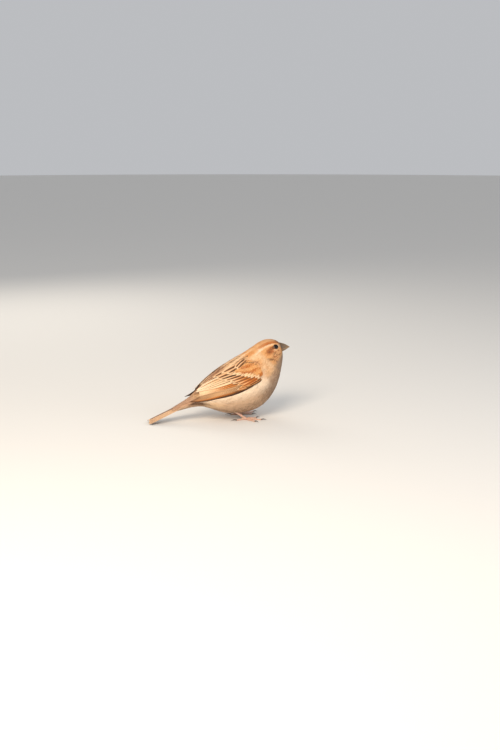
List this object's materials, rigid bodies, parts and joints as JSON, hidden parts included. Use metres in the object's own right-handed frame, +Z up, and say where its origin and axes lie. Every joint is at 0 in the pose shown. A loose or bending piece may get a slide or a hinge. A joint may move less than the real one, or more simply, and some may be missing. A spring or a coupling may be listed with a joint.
{
  "type": "house sparrow model",
  "caption": "Life-size still model of a brown female house sparrow, crouched and alert on the floor with its wings folded and its tail low.",
  "frame": {"origin": "on the floor, under the middle of the model's box", "axes": "+X towards the bill, +Y to the bird's left, +Z up"},
  "size_m": [0.134, 0.045, 0.0714],
  "materials": {
    "plumage_grey_buff": "soft matte body feathers, greyish buff",
    "plumage_brown": "soft matte body feathers, streaked warm brown",
    "plumage_pale": "loose matte belly feathers, cream",
    "feather_brown": "firm flight feathers, dark brown with pale buff edges, faint sheen",
    "feather_rufous": "firm wing feathers, rufous brown with buff edges, faint sheen",
    "bill_horn": "smooth horn, satin, grey-brown with a paler lower edge",
    "eye": "wet gloss, dark brown",
    "leg_skin": "scaly skin, satin, pinkish flesh",
    "claw_horn": "smooth horn, dark brown"
  },
  "bodies": {
    "root": {"head": "plumage_brown", "neck": "plumage_grey_buff", "trunk": "plumage_pale", "rump": "plumage_grey_buff", "tail": "feather_brown", "bill_upper": "bill_horn", "bill_lower": "bill_horn", "eye_left": "eye", "eye_right": "eye", "wing_left_primaries": "feather_brown", "wing_left_secondaries": "feather_rufous", "wing_left_tertials": "feather_brown", "wing_left_greater_coverts": "feather_rufous", "wing_left_alula": "feather_brown", "wing_left_shoulder": "plumage_brown", "wing_left_scapulars": "plumage_brown", "leg_left": "leg_skin", "foot_left": "leg_skin", "claw_left_hind": "claw_horn", "claw_left_inner": "claw_horn", "claw_left_middle": "claw_horn", "claw_left_outer": "claw_horn", "wing_right_primaries": "feather_brown", "wing_right_secondaries": "feather_rufous", "wing_right_tertials": "feather_brown", "wing_right_greater_coverts": "feather_rufous", "wing_right_alula": "feather_brown", "wing_right_shoulder": "plumage_brown", "wing_right_scapulars": "plumage_brown", "leg_right": "leg_skin", "foot_right": "leg_skin", "claw_right_hind": "claw_horn", "claw_right_inner": "claw_horn", "claw_right_middle": "claw_horn", "claw_right_outer": "claw_horn"}
  },
  "joints": []
}
